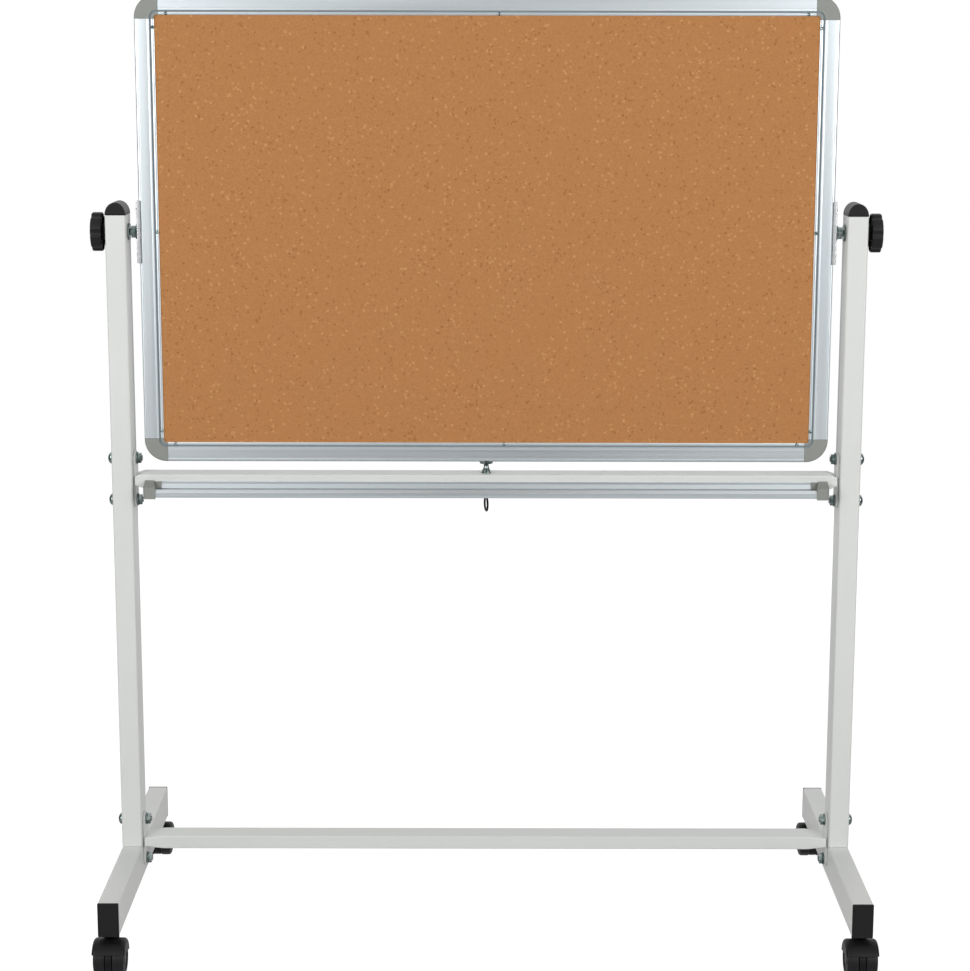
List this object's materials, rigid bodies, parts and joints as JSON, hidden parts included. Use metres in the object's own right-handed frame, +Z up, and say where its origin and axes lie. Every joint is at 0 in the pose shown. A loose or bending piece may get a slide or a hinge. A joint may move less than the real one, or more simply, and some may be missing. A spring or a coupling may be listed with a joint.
{
  "type": "reversible cork whiteboard",
  "caption": "Rolling stand whose framed board turns over between two posts, cork on one side and whiteboard on the other, with a pen tray, a spring latch, clamp knobs and twin-wheel casters.",
  "frame": {"origin": "on the floor under the middle of the stand, at the centre of the bounding box's underside", "axes": "+Z up, +X along the board to the right as seen from the cork side, +Y to the back, so that the cork side and the pen tray face -Y"},
  "size_m": [1.1426, 0.5486, 1.367],
  "materials": {
    "cream_paint": "semi-gloss powder coat",
    "silver_frame": "satin anodised",
    "zinc": "zinc plated",
    "spring_steel": "bare spring wire",
    "grey_plastic": "moulded, fine grain",
    "black_plastic": "moulded, fine grain",
    "wheel_plastic": "smooth nylon",
    "cork": "fine-grained agglomerated cork",
    "core": "raw fibreboard",
    "white_enamel": "glossy dry-wipe lacquer"
  },
  "bodies": {
    "stand": {"left_post": "cream_paint", "left_post_cap": "black_plastic", "left_foot": "cream_paint", "left_front_foot_cap": "black_plastic", "left_back_foot_cap": "black_plastic", "right_post": "cream_paint", "right_post_cap": "black_plastic", "right_foot": "cream_paint", "right_front_foot_cap": "black_plastic", "right_back_foot_cap": "black_plastic", "upper_crossbar": "cream_paint", "lower_crossbar": "cream_paint", "left_upper_high_bolt": "zinc", "left_upper_low_bolt": "zinc", "left_lower_high_bolt": "zinc", "left_lower_low_bolt": "zinc", "right_upper_high_bolt": "zinc", "right_upper_low_bolt": "zinc", "right_lower_high_bolt": "zinc", "right_lower_low_bolt": "zinc", "pen_tray": "silver_frame", "left_tray_cap": "grey_plastic", "right_tray_cap": "grey_plastic", "latch_housing": "zinc"},
    "board": {"bottom_rail": "silver_frame", "left_rail": "silver_frame", "top_rail": "silver_frame", "right_rail": "silver_frame", "bottom_left_corner": "grey_plastic", "bottom_right_corner": "grey_plastic", "top_left_corner": "grey_plastic", "top_right_corner": "grey_plastic", "cork_panel": "cork", "core_panel": "core", "whiteboard_panel": "white_enamel", "latch_striker": "zinc", "left_pivot_plate": "zinc", "left_pivot_stud": "zinc", "left_pivot_washer": "zinc", "right_pivot_plate": "zinc", "right_pivot_stud": "zinc", "right_pivot_washer": "zinc"},
    "left_clamp": {"left_knob": "black_plastic"},
    "right_clamp": {"right_knob": "black_plastic"},
    "latch": {"latch_pin": "zinc", "latch_spring": "spring_steel"},
    "ring": {"pull_ring": "zinc"},
    "left_front_swivel_body": {"left_front_caster": "black_plastic"},
    "left_front_left_wheel_body": {"left_front_left_wheel": "wheel_plastic"},
    "left_front_right_wheel_body": {"left_front_right_wheel": "wheel_plastic"},
    "left_back_swivel_body": {"left_back_caster": "black_plastic"},
    "left_back_left_wheel_body": {"left_back_left_wheel": "wheel_plastic"},
    "left_back_right_wheel_body": {"left_back_right_wheel": "wheel_plastic"},
    "right_front_swivel_body": {"right_front_caster": "black_plastic"},
    "right_front_left_wheel_body": {"right_front_left_wheel": "wheel_plastic"},
    "right_front_right_wheel_body": {"right_front_right_wheel": "wheel_plastic"},
    "right_back_swivel_body": {"right_back_caster": "black_plastic"},
    "right_back_left_wheel_body": {"right_back_left_wheel": "wheel_plastic"},
    "right_back_right_wheel_body": {"right_back_right_wheel": "wheel_plastic"}
  },
  "joints": [
    {"name": "board_flip", "type": "hinge", "parent": "stand", "child": "board", "pos_m": [0, 0, 1.032], "axis": [1, 0, 0], "continuous": true},
    {"name": "left_knob_turn", "type": "hinge", "parent": "board", "child": "left_clamp", "pos_m": [-0.5473, 0, 1.032], "axis": [-1, 0, 0], "range_deg": [0, 360]},
    {"name": "right_knob_turn", "type": "hinge", "parent": "board", "child": "right_clamp", "pos_m": [0.5473, 0, 1.032], "axis": [1, 0, 0], "range_deg": [0, 360]},
    {"name": "latch_pull", "type": "slide", "parent": "stand", "child": "latch", "axis": [0, 0, 1], "range_m": [-0.01, 0.004], "stiffness_N_per_m": 400, "springref_m": 0.0004, "deforming": ["latch_spring"]},
    {"name": "ring_swing", "type": "hinge", "parent": "latch", "child": "ring", "pos_m": [0, 0, 0.6439], "axis": [-0.2079, 0.9781, 0], "range_deg": [-75, 75]},
    {"name": "left_front_swivel", "type": "hinge", "parent": "stand", "child": "left_front_swivel_body", "pos_m": [-0.532, -0.234, 0.06], "axis": [0, 0, 1], "continuous": true},
    {"name": "left_front_left_spin", "type": "hinge", "parent": "left_front_swivel_body", "child": "left_front_left_wheel_body", "pos_m": [-0.532, -0.249, 0.025], "axis": [1, 0, 0], "continuous": true},
    {"name": "left_front_right_spin", "type": "hinge", "parent": "left_front_swivel_body", "child": "left_front_right_wheel_body", "pos_m": [-0.532, -0.249, 0.025], "axis": [1, 0, 0], "continuous": true},
    {"name": "left_back_swivel", "type": "hinge", "parent": "stand", "child": "left_back_swivel_body", "pos_m": [-0.532, 0.234, 0.06], "axis": [0, 0, 1], "continuous": true},
    {"name": "left_back_left_spin", "type": "hinge", "parent": "left_back_swivel_body", "child": "left_back_left_wheel_body", "pos_m": [-0.532, 0.249, 0.025], "axis": [1, 0, 0], "continuous": true},
    {"name": "left_back_right_spin", "type": "hinge", "parent": "left_back_swivel_body", "child": "left_back_right_wheel_body", "pos_m": [-0.532, 0.249, 0.025], "axis": [1, 0, 0], "continuous": true},
    {"name": "right_front_swivel", "type": "hinge", "parent": "stand", "child": "right_front_swivel_body", "pos_m": [0.532, -0.234, 0.06], "axis": [0, 0, 1], "continuous": true},
    {"name": "right_front_left_spin", "type": "hinge", "parent": "right_front_swivel_body", "child": "right_front_left_wheel_body", "pos_m": [0.532, -0.249, 0.025], "axis": [1, 0, 0], "continuous": true},
    {"name": "right_front_right_spin", "type": "hinge", "parent": "right_front_swivel_body", "child": "right_front_right_wheel_body", "pos_m": [0.532, -0.249, 0.025], "axis": [1, 0, 0], "continuous": true},
    {"name": "right_back_swivel", "type": "hinge", "parent": "stand", "child": "right_back_swivel_body", "pos_m": [0.532, 0.234, 0.06], "axis": [0, 0, 1], "continuous": true},
    {"name": "right_back_left_spin", "type": "hinge", "parent": "right_back_swivel_body", "child": "right_back_left_wheel_body", "pos_m": [0.532, 0.249, 0.025], "axis": [1, 0, 0], "continuous": true},
    {"name": "right_back_right_spin", "type": "hinge", "parent": "right_back_swivel_body", "child": "right_back_right_wheel_body", "pos_m": [0.532, 0.249, 0.025], "axis": [1, 0, 0], "continuous": true}
  ]
}
